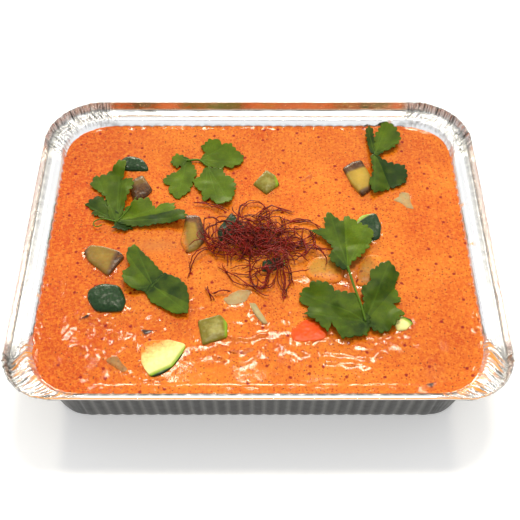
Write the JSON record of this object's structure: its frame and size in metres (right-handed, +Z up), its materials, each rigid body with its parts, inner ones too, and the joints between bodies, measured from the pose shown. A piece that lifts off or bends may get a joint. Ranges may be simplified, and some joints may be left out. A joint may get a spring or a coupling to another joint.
{
  "type": "foil tray of massaman curry",
  "caption": "Rectangular aluminium foil tray filled with orange coconut curry, with vegetable pieces, coriander leaves and a tangle of chilli threads on top.",
  "frame": {"origin": "middle of the tray's flat bottom, on the surface that it stands on", "axes": "+Z up, +X along the tray's long side to the right, +Y towards its back"},
  "size_m": [0.322, 0.262, 0.058],
  "materials": {
    "foil": "bright rolled aluminium foil, pressed and fluted",
    "curry": "glossy orange coconut curry with fine red and dark specks",
    "courgette_skin": "dark green courgette skin, wet with sauce",
    "courgette_flesh": "pale yellow-green cooked courgette flesh with a greener rim",
    "aubergine_flesh": "khaki-brown cooked aubergine flesh",
    "aubergine_skin": "dark brown aubergine skin, wet",
    "onion": "soft translucent onion",
    "carrot": "bright orange cooked carrot",
    "pepper": "dark orange scrap of pepper",
    "coriander": "fresh green coriander leaf",
    "chilli": "dried dark red chilli threads"
  },
  "bodies": {
    "root": {"foil_tray": "foil", "curry": "curry", "courgette_cap_back_left": "courgette_skin", "aubergine_glazed_back_left": "aubergine_skin", "aubergine_cut_left": "aubergine_flesh", "courgette_dome_left": "courgette_skin", "aubergine_cut_centre": "aubergine_flesh", "courgette_wedge_under_threads": "courgette_skin", "courgette_sliver_under_threads": "courgette_skin", "courgette_cube_back": "courgette_flesh", "courgette_cube_front": "courgette_flesh", "courgette_slice_front": "courgette_flesh", "onion_large_centre": "onion", "onion_small_centre": "onion", "onion_front_left": "onion", "carrot_chunk_front": "carrot", "pepper_strip_front": "pepper", "aubergine_cut_right": "aubergine_flesh", "onion_right": "onion", "courgette_cap_right": "courgette_skin", "courgette_chunk_front_right": "courgette_flesh", "aubergine_lump_left": "aubergine_flesh", "aubergine_lump_right": "aubergine_flesh", "aubergine_skin_scrap": "aubergine_skin", "carrot_chip_back": "pepper", "coriander_sprig_left": "coriander", "coriander_sprig_back": "coriander", "coriander_sprig_front_left": "coriander", "coriander_sprig_back_right": "coriander", "coriander_sprig_right": "coriander", "chilli_threads": "chilli"}
  },
  "joints": []
}
